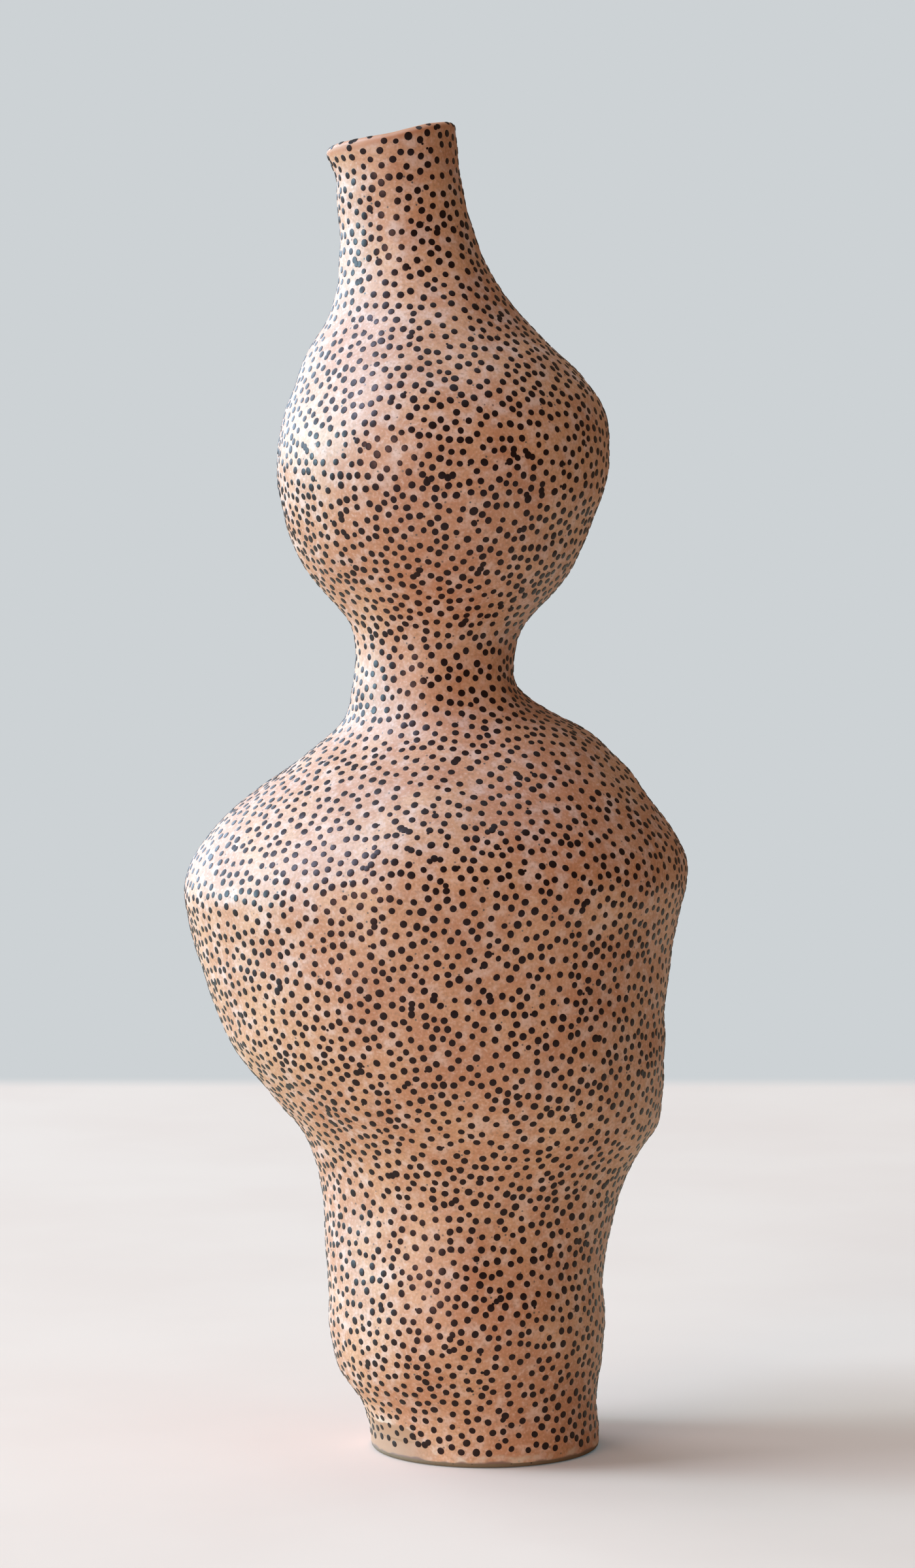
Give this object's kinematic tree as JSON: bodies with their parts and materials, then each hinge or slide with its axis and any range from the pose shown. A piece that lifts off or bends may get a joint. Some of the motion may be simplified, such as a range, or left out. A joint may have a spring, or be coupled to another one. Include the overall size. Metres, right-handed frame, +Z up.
{
  "type": "gourd vase",
  "caption": "Tall hand-built stoneware vase with a narrow neck, round bulb, waist and leaning belly, for holding a few stems.",
  "frame": {"origin": "middle of the flat underside, on the surface that the vase stands on", "axes": "+Z up through the vase, -Y towards the viewer of the picture, +X to the viewer's right"},
  "size_m": [0.1582, 0.1444, 0.4182],
  "materials": {
    "glaze": "satin",
    "raw_clay": "matte",
    "dark_slip": "satin"
  },
  "bodies": {
    "root": {"floor_slab": "raw_clay", "foot_ring": "glaze", "lower_trunk": "glaze", "upper_trunk": "glaze", "lower_belly": "glaze", "upper_belly": "glaze", "shoulder": "glaze", "waist_collar": "glaze", "bulb_bowl": "glaze", "bulb_dome": "glaze", "neck": "glaze"}
  },
  "joints": []
}
